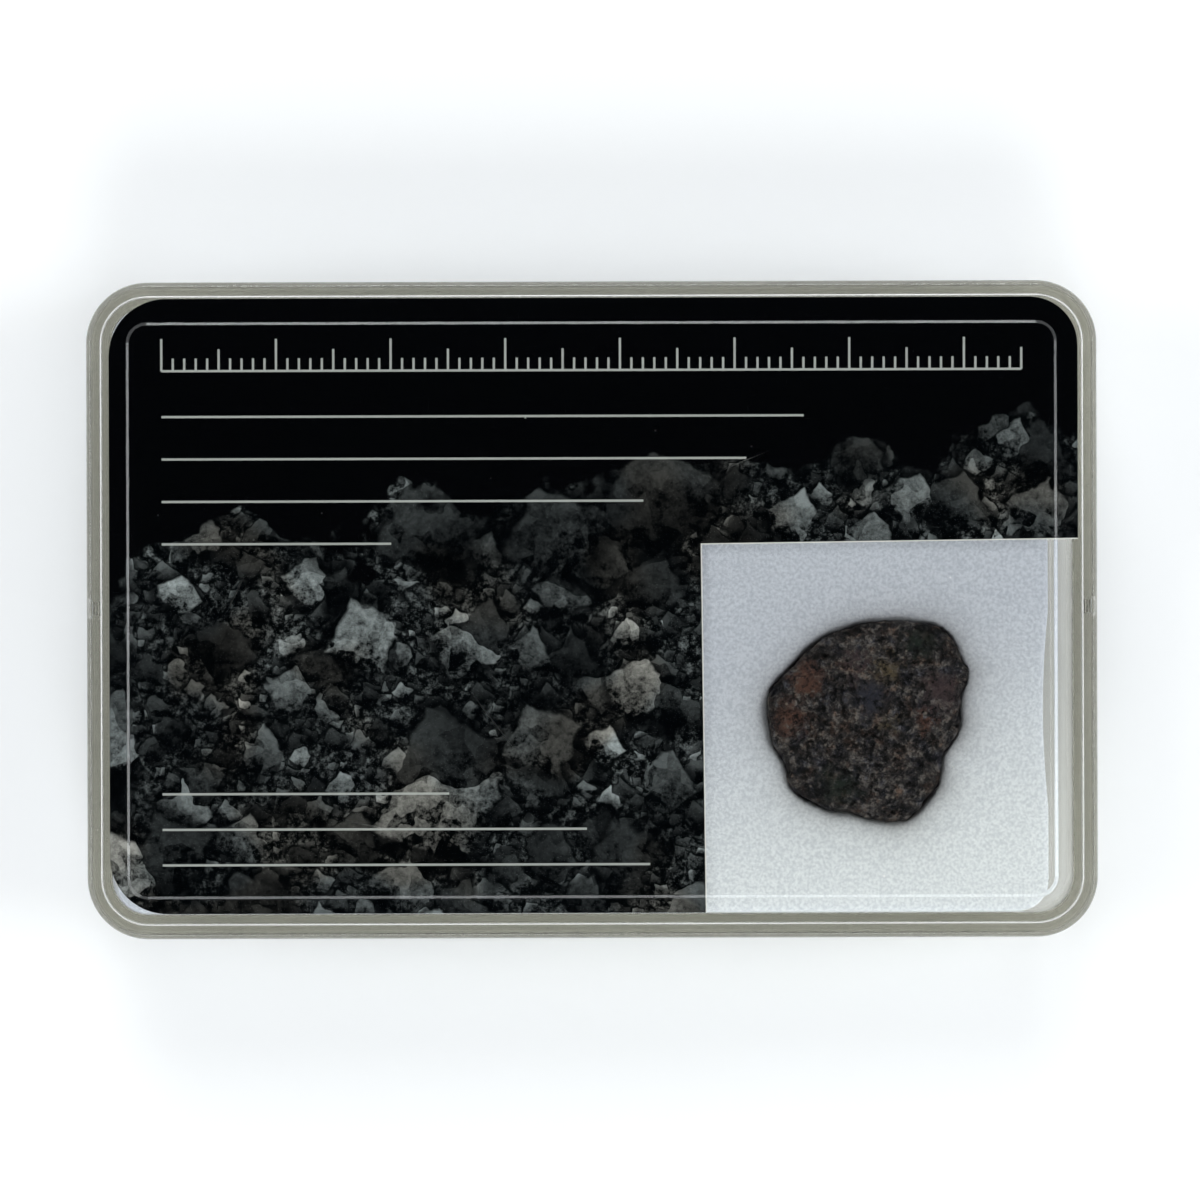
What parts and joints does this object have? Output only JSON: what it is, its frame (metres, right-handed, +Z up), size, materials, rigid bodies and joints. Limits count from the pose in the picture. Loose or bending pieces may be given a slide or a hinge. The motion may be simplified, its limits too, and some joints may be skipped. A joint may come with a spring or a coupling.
{
  "type": "chondrite meteorite",
  "caption": "Dark chondrite meteorite fragment pressed into white foam in a small clear plastic box, with a printed card cut away around it under a lift-off lid.",
  "frame": {"origin": "middle of the box's underside", "axes": "+X along the long side of the box, towards the stone; +Y along the short side, away from the stone; +Z up through the lid"},
  "size_m": [0.088, 0.0572, 0.014],
  "materials": {
    "clear_plastic": "clear, polished",
    "foam": "matte white foam",
    "print": "satin dark print on white card",
    "stone": "matte, rough"
  },
  "bodies": {
    "root": {"lid": "clear_plastic", "tray": "clear_plastic", "foam_pad": "foam", "printed_card": "print", "meteorite": "stone"}
  },
  "joints": []
}
